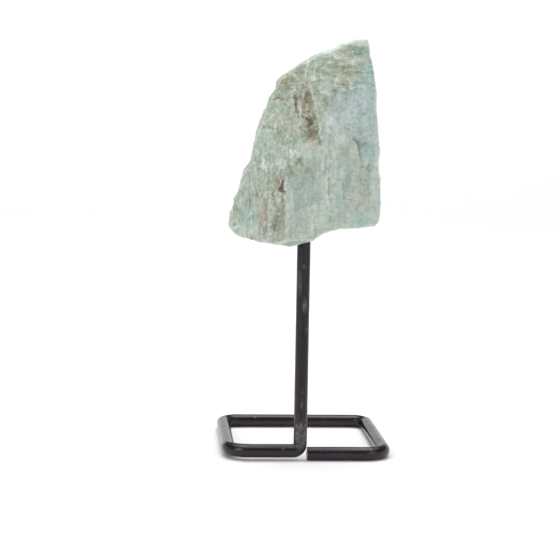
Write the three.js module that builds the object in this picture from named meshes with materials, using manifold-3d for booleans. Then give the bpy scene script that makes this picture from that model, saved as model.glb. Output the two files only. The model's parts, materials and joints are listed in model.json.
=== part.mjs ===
// Rough amazonite on a pin stand: a broken lump of blue-green feldspar, drilled from below and set on
// the upright of a stand that is one length of black rod, bent into a square foot.
// Millimetres, +Z up. The origin is the middle of the square foot, on the surface it stands on,
// and the stand's free end and upright are at the front, towards -Y.

import * as THREE from "three";
import { ConvexGeometry } from "three/addons/geometries/ConvexGeometry.js";
import { ImprovedNoise } from "three/addons/math/ImprovedNoise.js";
import { mergeVertices } from "three/addons/utils/BufferGeometryUtils.js";
import Module from "manifold-3d";

const wasm = await Module();
wasm.setup();

// ---- Driving dimensions ----

const ROD = 4.4; // a 4 mm rod with 0.2 mm of paint all round, across its flats
const ROD_SIDES = 16;
const ROD_RADIUS = ROD / 2 / Math.cos(Math.PI / ROD_SIDES); // out to its corners
const FOOT = 51.0; // the square foot, centre line to centre line
const BACK_BEND = 5; // bend radius of the foot's back corners, on the centre line
const FRONT_BEND = 6.3; // and of its front corners, bent a little wider
const ELBOW_BEND = 2.3; // the tight bend from the foot up into the upright
const BEND_STEPS = 6;
const FRONT_LIFT = 0.9; // how far the left front run stands clear of the table
const UPRIGHT_X = -2.5; // the upright's place along the front run
const UPRIGHT_LEAN_X = 0.45 / 66; // sideways per millimetre of height
const UPRIGHT_LEAN_Y = 7.2 / 66; // back over the foot, per millimetre of height

const STONE_FRONT = -27.4; // the stone's foremost face
const STONE_BASE = 68.6; // the stone's lowest point above the table
const STONE_DEPTH = 26; // front to back
const PIN_DEPTH = 14; // how far the upright reaches into the stone
const PIN_CLEARANCE = 0.3;
const PIN_MOUTH = STONE_BASE + 1; // about where the upright enters the stone
const DRILL_SIDES = 24;
const DRILL_START = STONE_BASE - 2; // the drill comes from clear below the stone

const LONGEST_EDGE = 3.3; // the stone's facets are no coarser than this
const ROUGH = { size: 0.55, every: 8.5 }; // slow swell of the broken surface
const FINE = { size: 0.28, every: 3.4 }; // short lumps on top of it
const SWAY_Y = 31.7; // sideways steps in the noise, so that the three directions differ
const SWAY_Z = 57.3;

// ---- The stone's shape ----
// In its own frame: x to the right, y back from the front face, z up from the lowest point.

// Front outline, clockwise from the sharp top right corner.
const OUTLINE = [
  [15.5, 66.6], [17.6, 60.0], [19.1, 51.8], [19.5, 48.0], [19.3, 45.4], [20.1, 36.2], [21.1, 30.6],
  [20.5, 28.6], [20.9, 18.9], [21.3, 14.9], [21.2, 9.2], [20.0, 8.1], [14.0, 7.0], [8.1, 6.4],
  [3.3, 5.5], [-0.2, 3.1], [-3.9, 1.5], [-7.5, 0.7], [-11.4, 1.2], [-19.3, 2.2], [-23.4, 3.5],
  [-26.2, 5.9], [-26.8, 8.4], [-26.9, 12.1], [-23.1, 18.0], [-21.5, 23.8], [-19.2, 27.7],
  [-18.4, 32.0], [-17.5, 37.2], [-15.0, 43.1], [-13.6, 47.6], [-11.2, 50.6], [-11.5, 52.8],
  [-8.8, 55.9], [-1.3, 61.1], [6.4, 64.2], [12.4, 66.6],
];

// Flat breaks that bound the lump: a point on each and its outward direction.
const FACES = {
  main: { at: [8, 0.6, 35], out: [0.06, -1, 0.03] },
  left: { at: [-6.4, 0.3, 28], out: [-0.6, -0.79, 0.07] },
  crown: { at: [-9, 4.7, 57.2], out: [-0.5, -0.38, 0.78] },
  backLeft: { at: [-21, 17.3, 22], out: [-0.74, 0.66, 0.12] },
  back: { at: [0, STONE_DEPTH, 30], out: [0.05, 1, 0.06] },
  backRight: { at: [21.6, 17, 30], out: [0.87, 0.49, -0.04] },
  topBack: { at: [4, 13, 61.5], out: [-0.3, 0.52, 0.8] },
  bottomBack: { at: [0, 18, 3.2], out: [0.04, 0.6, -0.8] },
  bottomFront: { at: [0, 0.9, 2.4], out: [0, -0.62, -0.78] },
  rightBevel: { at: [21.6, 1.9, 28], out: [0.74, -0.67, 0.03] },
  topBevel: { at: [12, 0.9, 65.6], out: [-0.33, -0.5, 0.8] },
};

// Flakes struck off the faces. Each corner is [x, z, depth] on a face seen along y, or [y, z, depth]
// on a face seen along x; the depth is measured into the face.
const FLAKES = [
  // the deep break beside the ridge: a plate that slopes down to a crease, and a shelf below
  { face: "main", corners: [[-3.4, 54.6, 0.05], [-1.7, 49.5, 0.1], [0.1, 42.7, 0.1],
    [1.6, 35.2, 0.1], [-6.0, 47.2, 0.3], [-5.1, 41.4, 0.4], [-4.2, 33.4, 0.2],
    [-2.9, 48.7, 0.9], [-2.2, 43.3, 1.7], [-1.5, 40, 2.2], [-0.8, 36.6, 2.6], [-2.4, 35.2, 1.8]] },
  // the slit on its left, steep on one side and tapering downwards
  { face: "left", corners: [[-6.7, 50.8, 0.1], [-7.6, 48.2, 0.1], [-7.0, 44.6, 0.1],
    [-5.1, 40.8, 0.1], [-6.4, 49.6, 0.1], [-5.9, 45.8, 0.1], [-5.3, 43.0, 0.1],
    [-6.7, 48.6, 1.7], [-6.3, 46.0, 1.5], [-5.7, 43.4, 0.8]] },
  // groove that runs down and left from the shelf to the pit
  { face: "main", corners: [[-3.0, 30.4, 0.1], [-5.0, 31.2, 0.1], [-4.1, 29.6, 1.0], [-8.9, 24.2, 1.6],
    [-10.4, 25.2, 0.3], [-8.0, 22.6, 0.3]] },
  // triangular pit
  { face: "left", corners: [[-9.7, 23.6, 0.1], [-11.5, 18.3, 0.2], [-9.0, 18.0, 0.2],
    [-10.1, 19.4, 2.3]] },
  // stained, shaken band below the pit
  { face: "left", corners: [[-12.2, 17.4, 0.1], [-9.4, 17.4, 0.3], [-8.6, 1.0, 0.6], [-14.6, 1.0, 0.2],
    [-11.2, 9.5, 1.2], [-11.6, 3.0, 1.2]] },
  // right edge, sunk below the diagonal step
  { face: "main", corners: [[11.6, 37.2, 0.1], [13.6, 33.4, 0.55], [15.1, 25.6, 0.6], [24, 29.4, 0.6],
    [24, 41, 0.2], [14, 45, 0]] },
  // pale block right of the vertical crack
  { face: "main", corners: [[9.3, 24.6, 0.3], [9.1, 12.8, 0.4], [15.2, 10.8, 0], [15.8, 24.8, 0]] },
  // vertical step, and the strip below its ledge
  { face: "main", corners: [[3.5, 41.8, 0.4], [3.9, 23.4, 0.7], [-1.2, 24, 0.05], [-0.8, 32.2, 0.05]] },
  { face: "main", corners: [[4.4, 23.3, 0.7], [8.9, 23.3, 0.6], [8.7, 10, 0.1], [4.8, 10, 0.3]] },
  // curved shell break near the top
  { face: "main", corners: [[5.2, 51, 0.5], [6.1, 53.4, 0.6], [7.6, 54.8, 0.6], [9.2, 55.1, 0.6],
    [10.8, 54.2, 0.6], [11.5, 51.8, 0.4], [11.2, 48.6, 0.05], [8, 47.4, 0.05], [5.5, 48.6, 0.05]] },
  // short level ledges under the top edge
  { face: "main", corners: [[5, 58.6, 0.6], [12, 59.1, 0.6], [11.4, 61.6, 0], [5, 61.2, 0]] },
  { face: "main", corners: [[0.5, 56.6, 0.6], [6.5, 57, 0.6], [5.9, 59.2, 0], [1, 59, 0]] },
  { face: "main", corners: [[9.5, 62.6, 0.4], [14.8, 63, 0.4], [14, 64.8, 0], [10, 64.4, 0]] },
  { face: "main", corners: [[1.4, 49.4, 0.6], [5, 49.8, 0.6], [4.6, 52.2, 0], [1.6, 52, 0]] },
  // upright grooves down the left face
  { face: "left", corners: [[-22, 24.5, 0.1], [-19.6, 23.8, 0], [-20.9, 17.5, 0.8], [-21.6, 10, 0.1],
    [-19.9, 10.6, 0.1]] },
  { face: "left", corners: [[-18.8, 20.5, 0.1], [-16.7, 21.4, 0.1], [-17.5, 12, 0.9], [-18.4, 3.6, 0.2],
    [-16.6, 3, 0.1]] },
  { face: "left", corners: [[-15.8, 33.4, 0.1], [-13.4, 32.4, 0], [-14.7, 26, 0.8], [-15.6, 18.4, 0.1],
    [-13.8, 17.6, 0.2]] },
  { face: "left", corners: [[-24.6, 15.4, 0.1], [-22.6, 14.8, 0.1], [-23.5, 10, 0.7], [-23.9, 4.4, 0.1],
    [-22.2, 4, 0.1]] },
  { face: "left", corners: [[-12.4, 43.6, 0.1], [-10.1, 43, 0.1], [-11.4, 37, 0.9], [-12.0, 29.8, 0.1],
    [-10.4, 30.4, 0.1]] },
  // and short ledges that notch its outer edge
  { face: "left", corners: [[-16.5, 38, 0.8], [-12.6, 37.4, 0.7], [-12.8, 41.8, 0], [-15, 42, 0]] },
  { face: "left", corners: [[-20.5, 27.4, 0.8], [-16.4, 26.6, 0.8], [-16.4, 31, 0], [-19, 31.4, 0]] },
  { face: "left", corners: [[-13.4, 47.2, 0.9], [-9.2, 46.6, 0.9], [-9.4, 50.4, 0], [-12, 50.8, 0]] },
  // steps of the cleavage across the back
  { face: "back", corners: [[6.5, -2, 1.4], [26, -2, 2.4], [26, 31, 1.9], [15, 33.5, 1.1],
    [4.2, 28, 1.0]] },
  { face: "back", corners: [[14, 29, 1.0], [26, 32, 1.5], [25, 50, 0.8], [15.5, 47, 0.5],
    [11.4, 39, 0.7]] },
  { face: "back", corners: [[-19, 36.5, 1.4], [-7, 33.5, 1.4], [-2.2, 41, 1.1], [-4.4, 64, 0.9],
    [-16, 62, 0.8]] },
  { face: "back", corners: [[-22, 15, 1.4], [-13, 11.5, 1.1], [-8.2, 19, 1.0], [-10.6, 36, 0.3],
    [-20, 37, 0.3]] },
  { face: "back", corners: [[-5, 3, 0.8], [1, 0, 0.8], [2.6, 8, 0.6], [-0.4, 17, 0.1],
    [-5.6, 15, 0.1]] },
  { face: "back", corners: [[-6, 40, 0.6], [3, 37.4, 0.8], [5.6, 44, 0.6], [2, 55, 0.05],
    [-4, 54, 0.05]] },
  { face: "back", corners: [[-15, 0, 0.9], [-8, -1, 0.9], [-6.6, 9, 0.1], [-13, 10, 0.1]] },
  { face: "backLeft", corners: [[-25, 29, 1.2], [-17, 25.6, 1.2], [-13, 30, 0.6], [-14, 41, 0.1],
    [-21, 42, 0.1]] },
  { face: "backLeft", corners: [[-27, 11.5, 0.5], [-17, 9.4, 1.0], [-15.4, 14, 0.5], [-18, 20, 0],
    [-26, 19.5, 0]] },
  { face: "backRight", corners: [[15, 40, 1.2], [24, 37.6, 1.2], [24, 56, 0.1], [14, 54, 0.1]] },
  { face: "backRight", corners: [[17, 12, 0.9], [25, 10.6, 0.9], [25, 24, 0.1], [18, 26, 0.1]] },
];
const FLAKE_PROUD = 3; // how far a flake's cutter reaches out of the face

// ---- Solids ----

function solidOf(geometry) {
  const loose = geometry.index ? geometry.toNonIndexed() : geometry;
  const bare = new THREE.BufferGeometry();
  bare.setAttribute("position", loose.getAttribute("position"));
  const merged = mergeVertices(bare, 1e-4);
  const mesh = new wasm.Mesh({
    numProp: 3,
    vertProperties: merged.attributes.position.array,
    triVerts: new Uint32Array(merged.index.array),
  });
  return new wasm.Manifold(mesh);
}

function geometryOf(solid) {
  const { vertProperties, triVerts } = solid.getMesh();
  const geometry = new THREE.BufferGeometry();
  geometry.setAttribute("position", new THREE.BufferAttribute(vertProperties, 3));
  geometry.setIndex(new THREE.BufferAttribute(triVerts, 1));
  return geometry;
}

function planeOf(face) {
  const normal = new THREE.Vector3(...face.out).normalize();
  return new THREE.Plane().setFromNormalAndCoplanarPoint(normal, new THREE.Vector3(...face.at));
}

// ---- The stone ----

function outlineBlock() {
  const shape = new THREE.Shape(OUTLINE.map(([x, z]) => new THREE.Vector2(x, z)));
  const block = new THREE.ExtrudeGeometry(shape, { depth: STONE_DEPTH, bevelEnabled: false });
  return solidOf(block.rotateX(Math.PI / 2).translate(0, STONE_DEPTH, 0));
}

// A big box whose inner side lies on the face, to take away all that stands outside it.
function chisel(face) {
  const reach = 5 * STONE_DEPTH;
  const turn = new THREE.Quaternion().setFromUnitVectors(
    new THREE.Vector3(0, 0, 1),
    planeOf(face).normal,
  );
  const box = new THREE.BoxGeometry(reach, reach, reach).translate(0, 0, reach / 2);
  return solidOf(box.applyQuaternion(turn).translate(...face.at));
}

// The cutter of one flake: its corners on the face, sunk by their depths, and the same ones held proud.
function flakeCutter({ face, corners }) {
  const plane = planeOf(FACES[face]);
  const seen = new THREE.Vector3(0, 1, 0);
  const points = corners.flatMap(([x, z, depth]) => {
    const ray = new THREE.Vector3(x, 0, z);
    const along = -plane.distanceToPoint(ray) / plane.normal.dot(seen);
    const onFace = ray.addScaledVector(seen, along);
    return [
      onFace.clone().addScaledVector(plane.normal, -depth),
      onFace.clone().addScaledVector(plane.normal, FLAKE_PROUD),
    ];
  });
  return solidOf(new ConvexGeometry(points));
}

// Cuts every triangle at the middle of its longest edge until none is longer than the limit.
// Neighbours share their edges' lengths and middles, so the surface stays closed.
function refine(geometry, limit) {
  const loose = geometry.toNonIndexed().getAttribute("position");
  const corner = (i) => new THREE.Vector3().fromBufferAttribute(loose, i);
  const todo = [];
  for (let i = 0; i < loose.count; i += 3) todo.push([corner(i), corner(i + 1), corner(i + 2)]);
  const done = [];
  while (todo.length) {
    const [a, b, c] = todo.pop();
    const sides = [a.distanceTo(b), b.distanceTo(c), c.distanceTo(a)];
    const longest = Math.max(...sides);
    if (longest <= limit) {
      done.push(...a, ...b, ...c);
      continue;
    }
    const [p, q, r] = [[a, b, c], [b, c, a], [c, a, b]][sides.indexOf(longest)];
    const middle = p.clone().add(q).multiplyScalar(0.5);
    todo.push([p, middle, r], [middle, q, r]);
  }
  const fine = new THREE.BufferGeometry();
  fine.setAttribute("position", new THREE.Float32BufferAttribute(done, 3));
  return fine;
}

// Shifts each vertex by a smooth random field, so that no break stays a true plane.
function roughen(geometry) {
  const noise = new ImprovedNoise();
  const places = geometry.getAttribute("position");
  for (let i = 0; i < places.count; i++) {
    const at = new THREE.Vector3().fromBufferAttribute(places, i);
    const shift = new THREE.Vector3();
    for (const { size, every } of [ROUGH, FINE]) {
      const [u, v, w] = at.toArray().map((value) => value / every);
      shift.x += size * noise.noise(u, v, w);
      shift.y += size * noise.noise(u + SWAY_Y, v, w);
      shift.z += size * noise.noise(u, v + SWAY_Z, w);
    }
    at.add(shift);
    places.setXYZ(i, at.x, at.y, at.z);
  }
  return geometry;
}

// The upright's centre line: where it is at a height above the table.
function uprightAt(height) {
  return new THREE.Vector3(
    UPRIGHT_X + UPRIGHT_LEAN_X * height,
    -FOOT / 2 + UPRIGHT_LEAN_Y * height,
    height,
  );
}

// The drilled hole, a little wider and deeper than the end of the upright.
function pinHole() {
  const top = uprightAt(PIN_MOUTH + PIN_DEPTH + PIN_CLEARANCE);
  const bottom = uprightAt(DRILL_START);
  const direction = top.clone().sub(bottom);
  const radius = ROD_RADIUS + PIN_CLEARANCE;
  const drill = new THREE.CylinderGeometry(radius, radius, direction.length(), DRILL_SIDES);
  const turn = new THREE.Quaternion().setFromUnitVectors(
    new THREE.Vector3(0, 1, 0),
    direction.clone().normalize(),
  );
  const middle = top.clone().add(bottom).multiplyScalar(0.5);
  return solidOf(drill.applyQuaternion(turn).translate(...middle));
}

function stone() {
  let lump = outlineBlock();
  for (const face of Object.values(FACES)) lump = lump.subtract(chisel(face));
  for (const flake of FLAKES) lump = lump.subtract(flakeCutter(flake));
  const rough = roughen(refine(geometryOf(lump), LONGEST_EDGE));
  rough.translate(0, STONE_FRONT, STONE_BASE);
  return geometryOf(solidOf(rough).subtract(pinHole()));
}

// ---- The stand ----

// Straight runs joined by arcs, with stops only at the ends of the runs and along the bends.
class RodPath extends THREE.Curve {
  constructor(corners) {
    super();
    this.stops = [];
    corners.forEach(({ at, bend }, i) => {
      if (bend) this.addBend(corners[i - 1].at, at, corners[i + 1].at, bend);
      else this.addEnd(at, (corners[i + 1] ?? corners[i - 1]).at, i > 0);
    });
  }

  addEnd(at, neighbour, last) {
    const heading = neighbour.clone().sub(at).normalize().multiplyScalar(last ? -1 : 1);
    this.stops.push({ at, heading });
  }

  addBend(before, at, after, radius) {
    const back = before.clone().sub(at).normalize();
    const on = after.clone().sub(at).normalize();
    const half = back.angleTo(on) / 2;
    const centre = back.clone().add(on).normalize();
    centre.multiplyScalar(radius / Math.sin(half)).add(at);
    const first = back.clone().multiplyScalar(radius / Math.tan(half)).add(at).sub(centre);
    const axis = back.clone().negate().cross(on).normalize();
    const sweep = Math.PI - 2 * half;
    for (let step = 0; step <= BEND_STEPS; step++) {
      const turn = (sweep * step) / BEND_STEPS;
      const arm = first.clone().applyAxisAngle(axis, turn);
      const heading = back.clone().negate().applyAxisAngle(axis, turn);
      this.stops.push({ at: arm.add(centre), heading });
    }
  }

  stop(t) {
    return this.stops[Math.round(t * (this.stops.length - 1))];
  }

  getPoint(t, target = new THREE.Vector3()) {
    return target.copy(this.stop(t).at);
  }

  getTangent(t, target = new THREE.Vector3()) {
    return target.copy(this.stop(t).heading);
  }

  getUtoTmapping(u) {
    return u;
  }
}

function stand() {
  const side = FOOT / 2;
  const low = ROD / 2;
  const raised = low + FRONT_LIFT;
  const path = new RodPath([
    { at: new THREE.Vector3(UPRIGHT_X + low, -side, low) }, // the cut end, close beside the elbow
    { at: new THREE.Vector3(side, -side, low), bend: FRONT_BEND },
    { at: new THREE.Vector3(side, side, low), bend: BACK_BEND },
    { at: new THREE.Vector3(-side, side, low), bend: BACK_BEND },
    { at: new THREE.Vector3(-side, -side, raised), bend: FRONT_BEND },
    { at: uprightAt(0).setZ(raised), bend: ELBOW_BEND },
    { at: uprightAt(PIN_MOUTH + PIN_DEPTH) },
  ]);
  const section = new THREE.Shape();
  for (let i = 0; i < ROD_SIDES; i++) {
    const angle = (2 * Math.PI * (i + 0.5)) / ROD_SIDES; // half a side round, to lie flat
    const point = [ROD_RADIUS * Math.cos(angle), ROD_RADIUS * Math.sin(angle)];
    if (i) section.lineTo(...point);
    else section.moveTo(...point);
  }
  section.closePath();
  return new THREE.ExtrudeGeometry(section, {
    steps: path.stops.length - 1,
    extrudePath: path,
    bevelEnabled: false,
  });
}

// ---- The object ----

const amazonite = new THREE.Mesh(
  stone(),
  new THREE.MeshStandardMaterial({ color: 0xa3bdb2, roughness: 0.6, metalness: 0 }),
);
amazonite.name = "amazonite_stone";

const rod = new THREE.Mesh(
  stand(),
  new THREE.MeshStandardMaterial({ color: 0x2b292b, roughness: 0.4, metalness: 0.3 }),
);
rod.name = "rod_stand";

const specimen = new THREE.Group();
specimen.add(amazonite, rod);

export default specimen;
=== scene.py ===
# %% [markdown]
# # Rough amazonite on a pin stand
#
# Amazonite is a blue-green feldspar. This lump is as it broke from the rock, drilled from below and
# stuck on the end of a black rod that is bent into a small square foot. The lesson models the two
# pieces one after the other: first the rod, drawn out and bent as it was in the workshop, then the
# stone, whose coarse breaks come with the frame and whose fine relief is added here.
#
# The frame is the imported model: plain solids at their real size and place, for which the pieces
# made here stand in.

# %% Load the frame
import json
import math

import bpy
from mathutils import Matrix, Vector

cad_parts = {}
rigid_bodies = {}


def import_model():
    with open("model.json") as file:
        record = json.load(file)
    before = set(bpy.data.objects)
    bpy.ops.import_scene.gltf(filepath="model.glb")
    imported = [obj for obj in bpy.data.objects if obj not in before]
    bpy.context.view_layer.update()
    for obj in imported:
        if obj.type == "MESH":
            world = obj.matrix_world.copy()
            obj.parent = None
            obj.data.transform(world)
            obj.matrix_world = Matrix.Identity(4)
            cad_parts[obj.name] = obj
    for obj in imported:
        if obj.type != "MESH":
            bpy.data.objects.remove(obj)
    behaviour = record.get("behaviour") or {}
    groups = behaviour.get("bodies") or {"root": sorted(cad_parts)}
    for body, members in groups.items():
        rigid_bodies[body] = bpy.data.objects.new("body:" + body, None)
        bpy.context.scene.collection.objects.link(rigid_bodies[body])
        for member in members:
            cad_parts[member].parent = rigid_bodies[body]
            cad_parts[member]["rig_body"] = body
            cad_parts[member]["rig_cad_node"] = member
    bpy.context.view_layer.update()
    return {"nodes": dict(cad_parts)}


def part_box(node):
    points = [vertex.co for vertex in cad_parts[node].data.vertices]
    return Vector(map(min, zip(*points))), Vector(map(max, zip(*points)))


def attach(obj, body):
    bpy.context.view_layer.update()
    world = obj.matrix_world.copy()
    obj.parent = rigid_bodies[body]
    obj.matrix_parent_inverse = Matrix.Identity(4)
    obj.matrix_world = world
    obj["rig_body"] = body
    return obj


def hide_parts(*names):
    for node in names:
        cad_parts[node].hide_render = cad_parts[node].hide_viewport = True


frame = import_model()
MM = 0.001

# %% [markdown]
# ## The camera
#
# The lump is seen a little from the left and from above, through a long lens, so upright edges stay
# nearly parallel. The camera is tipped sideways by about a degree, as one held in the hand is. Turning
# the angles into three directions and writing these into the camera's matrix is clearer than guessing
# the order of its Euler angles.

# %% Place the camera
CAMERA_AT = Vector((-49.5, -499.9, 114.4)) * MM
TURN, DIP, TIP = (math.radians(angle) for angle in (4.74, 6.67, 1.2))
FOCAL_MM = 96.54
SENSOR_MM = 36
NEAREST = 10 * MM

forward = Vector((
    math.sin(TURN) * math.cos(DIP),
    math.cos(TURN) * math.cos(DIP),
    -math.sin(DIP),
))
level = Vector((math.cos(TURN), -math.sin(TURN), 0))
upward = level.cross(forward)
right = level * math.cos(TIP) + upward * math.sin(TIP)
up = upward * math.cos(TIP) - level * math.sin(TIP)

bpy.ops.object.camera_add(location=CAMERA_AT)
camera = bpy.context.object
camera.name = "camera"
turned = Matrix((right, up, -forward)).transposed().to_4x4()
camera.matrix_world = Matrix.Translation(CAMERA_AT) @ turned
camera.data.lens = FOCAL_MM
camera.data.sensor_width = SENSOR_MM
camera.data.clip_start = NEAREST
bpy.context.scene.camera = camera

print("camera to stand, in mm:", round(CAMERA_AT.length / MM))

# %% [markdown]
# ## The stand: one rod, drawn out and bent
#
# The real stand is a single rod. It starts at a sawn end beside the upright, runs round the square
# foot and turns up through a tight elbow into the upright, which leans back a little and ends inside
# the stone. It could be a bevelled curve, but following the rod with a circle is closer to how it is
# made: Extrude draws the straight runs out, and Spin turns the corners at their bend radius.
#
# Both act on what is selected, and the ring that was made last stays selected, so the whole rod is
# one chain of these two steps.

# %% The rod's sizes
stand_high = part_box("rod_stand")[1]
ROD = 4.4 * MM  # a 4 mm rod with 0.2 mm of paint all round
ROD_SIDES = 40
SIDE = stand_high.x - ROD / 2  # from the middle of the foot to the middle of a run
BACK_BEND = 5 * MM
FRONT_BEND = 6.3 * MM
ELBOW_BEND = 2.3 * MM
FRONT_LIFT = 0.9 * MM  # the left front run stands clear of the table
UPRIGHT_X = -2.5 * MM
UPRIGHT_LEAN = Vector((0.45, 7.2, 66)) / 66  # per millimetre of height
PIN_TOP = 83.6 * MM
RING_STEP = 0.8 * MM
BEND_STEPS = 12


def upright_at(height):
    """The upright's centre line at a height above the table."""
    return Vector((UPRIGHT_X, -SIDE, 0)) + UPRIGHT_LEAN * height


low, raised = ROD / 2, ROD / 2 + FRONT_LIFT
free_end = Vector((UPRIGHT_X + ROD / 2, -SIDE, low))
elbow = upright_at(0)
elbow.z = raised
corners = [
    (Vector((SIDE, -SIDE, low)), FRONT_BEND),
    (Vector((SIDE, SIDE, low)), BACK_BEND),
    (Vector((-SIDE, SIDE, low)), BACK_BEND),
    (Vector((-SIDE, -SIDE, raised)), FRONT_BEND),
    (elbow, ELBOW_BEND),
]
pin_top = upright_at(PIN_TOP)

print("foot, centre to centre, in mm:", round(2 * SIDE / MM, 1))

# %% Draw the rod out along its path


def deselect_all():
    """Leaves nothing selected, so that the next operator only meets what it makes."""
    if bpy.context.object and bpy.context.object.mode != "OBJECT":
        bpy.ops.object.mode_set(mode="OBJECT")
    bpy.ops.object.select_all(action="DESELECT")


def pick(piece):
    """Selects one piece alone and makes it the active one."""
    deselect_all()
    bpy.context.view_layer.objects.active = piece
    piece.select_set(True)


def draw_out(start, end):
    """Extrudes the selected ring along a straight run, in even steps."""
    steps = max(1, round((end - start).length / RING_STEP))
    move = (end - start) / steps
    for _ in range(steps):
        bpy.ops.mesh.extrude_region_move(TRANSFORM_OT_translate={"value": move})


def bend_round(before, corner, after, radius):
    """Where a bend starts and ends, its centre, and the axis and angle for Spin."""
    back = (before - corner).normalized()
    on = (after - corner).normalized()
    half = back.angle(on) / 2
    reach = radius / math.tan(half)
    centre = corner + (back + on).normalized() * radius / math.sin(half)
    axis = back.cross(on).normalized()
    return corner + back * reach, corner + on * reach, centre, axis, math.pi - 2 * half


deselect_all()
bpy.ops.mesh.primitive_circle_add(
    vertices=ROD_SIDES, radius=ROD / 2, location=free_end, rotation=(0, math.pi / 2, 0)
)
rod = bpy.context.object
rod.name = "stand"
bpy.ops.object.transform_apply(location=True, rotation=True, scale=True)
bpy.ops.object.mode_set(mode="EDIT")
bpy.ops.mesh.select_all(action="SELECT")
here = free_end
afters = [corner for corner, _ in corners[1:]] + [pin_top]
for (corner, radius), after in zip(corners, afters):
    bend_start, bend_end, centre, axis, sweep = bend_round(here, corner, after, radius)
    draw_out(here, bend_start)
    bpy.ops.mesh.spin(steps=BEND_STEPS, angle=sweep, center=centre, axis=axis)
    here = bend_end
draw_out(here, pin_top)
bpy.ops.object.mode_set(mode="OBJECT")

print("rings along the rod:", len(rod.data.vertices) // ROD_SIDES)

# %% [markdown]
# The tube is still open. Both ends are filled, and the sawn end gets what a saw and a coat of paint
# leave: a narrow chamfer round its rim and a face that is a little hollow in the middle.

# %% Close and finish the rod's ends


def select_faces(piece, wanted):
    """Goes into edit mode with just the faces selected that wanted(face) is true for."""
    pick(piece)
    bpy.ops.object.mode_set(mode="EDIT")
    bpy.ops.mesh.select_mode(type="FACE")
    bpy.ops.mesh.select_all(action="DESELECT")
    bpy.ops.object.mode_set(mode="OBJECT")
    chosen = [face for face in piece.data.polygons if wanted(face)]
    for face in chosen:
        face.select = True
    bpy.ops.object.mode_set(mode="EDIT")
    return len(chosen)


CHAMFER = 0.22 * MM
SAWN_HOLLOW = 0.12 * MM

bpy.ops.object.mode_set(mode="EDIT")
bpy.ops.mesh.select_all(action="SELECT")
bpy.ops.mesh.fill_holes(sides=0)
bpy.ops.mesh.normals_make_consistent(inside=False)
bpy.ops.object.mode_set(mode="OBJECT")
ends = select_faces(rod, lambda face: len(face.vertices) == ROD_SIDES)
bpy.ops.mesh.bevel(offset=CHAMFER, segments=3, affect="EDGES")
bpy.ops.object.mode_set(mode="OBJECT")
select_faces(
    rod,
    lambda face: len(face.vertices) == ROD_SIDES and (face.center - free_end).length < ROD / 4,
)
bpy.ops.mesh.inset(thickness=ROD / 8)
bpy.ops.mesh.inset(thickness=ROD / 8)
bpy.ops.transform.translate(value=(SAWN_HOLLOW, 0, 0))
bpy.ops.object.mode_set(mode="OBJECT")

print("ends closed:", ends, "faces:", len(rod.data.polygons))

# %% [markdown]
# ## Writing nodes as sums
#
# The relief and both finishes are worked out by nodes. Written one at a time they would fill pages,
# so a small class wraps a node's output and lets it take part in ordinary Python sums: each operator
# adds one Math node. Everything else is added by one method, which takes the node's type, its
# settings and what goes into its sockets. Geometry nodes and shader nodes share these helpers,
# because both know the same textures and maths.

# %% Helpers for node trees
NOISE_MIDDLE = (0.5, 0.5, 0.5)


class Value:
    """A node's output that Python's arithmetic works on, one Math node for each operator."""

    def __init__(self, tree, socket):
        self.tree, self.socket = tree, socket

    def math(self, operation, *others):
        """A Math node on this value and others, in the order of its sockets."""
        values = dict(enumerate((self, *others)))
        return self.tree.add("ShaderNodeMath", {"operation": operation}, values)

    def __add__(self, other):
        return self.math("ADD", other)

    __radd__ = __add__

    def __sub__(self, other):
        return self.math("SUBTRACT", other)

    def __rsub__(self, other):
        return self.tree.add("ShaderNodeMath", {"operation": "SUBTRACT"}, {0: other, 1: self})

    def __mul__(self, other):
        return self.math("MULTIPLY", other)

    __rmul__ = __mul__

    def __truediv__(self, other):
        return self.math("DIVIDE", other)

    def __or__(self, other):
        """The larger of two masks, where either is."""
        return self.math("MAXIMUM", other)

    def __and__(self, other):
        """The smaller of two masks, where both are."""
        return self.math("MINIMUM", other)

    def rise(self, start, end, low=0.0, high=1.0):
        """Goes smoothly from low at start to high at end, and stays there."""
        values = {0: self, 1: start, 2: end, 3: low, 4: high}
        return self.tree.add("ShaderNodeMapRange", {"interpolation_type": "SMOOTHSTEP"}, values)


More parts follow.
